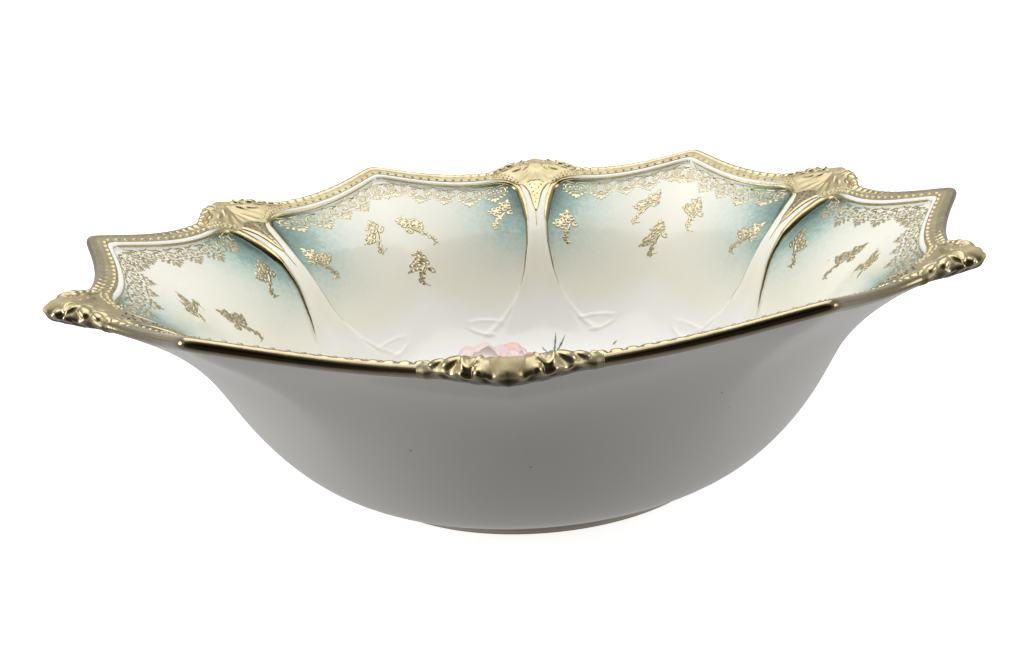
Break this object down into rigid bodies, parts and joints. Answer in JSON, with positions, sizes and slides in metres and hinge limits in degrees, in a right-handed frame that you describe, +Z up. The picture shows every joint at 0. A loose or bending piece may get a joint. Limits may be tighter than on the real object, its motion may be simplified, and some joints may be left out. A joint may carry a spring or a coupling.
{
  "type": "porcelain serving bowl",
  "caption": "Round lobed porcelain serving bowl on a foot ring, with a scalloped gilt rim, moulded ribs and gilt rim cartouches.",
  "frame": {"origin": "centre of the foot ring's resting face", "axes": "+Z up along the bowl's axis, +Y from the centre to one cartouche of the rim, +X to one point of the rim"},
  "size_m": [0.2708, 0.2746, 0.0799],
  "materials": {
    "porcelain": "glossy glaze over fired porcelain",
    "unglazed_foot": "unglazed fired porcelain, satin",
    "gilding": "polished gilding over fired porcelain"
  },
  "bodies": {
    "root": {"bowl_body": "porcelain", "foot_ring": "unglazed_foot", "rim_strip_1": "gilding", "rim_strip_2": "gilding", "rim_strip_3": "gilding", "rim_strip_4": "gilding", "rim_strip_5": "gilding", "rim_strip_6": "gilding", "rib_1": "porcelain", "rib_2": "porcelain", "rib_3": "porcelain", "rib_4": "porcelain", "rib_5": "porcelain", "rib_6": "porcelain", "cartouche_1": "gilding", "cartouche_2": "gilding", "cartouche_3": "gilding", "cartouche_4": "gilding", "cartouche_5": "gilding", "cartouche_6": "gilding"}
  },
  "joints": []
}
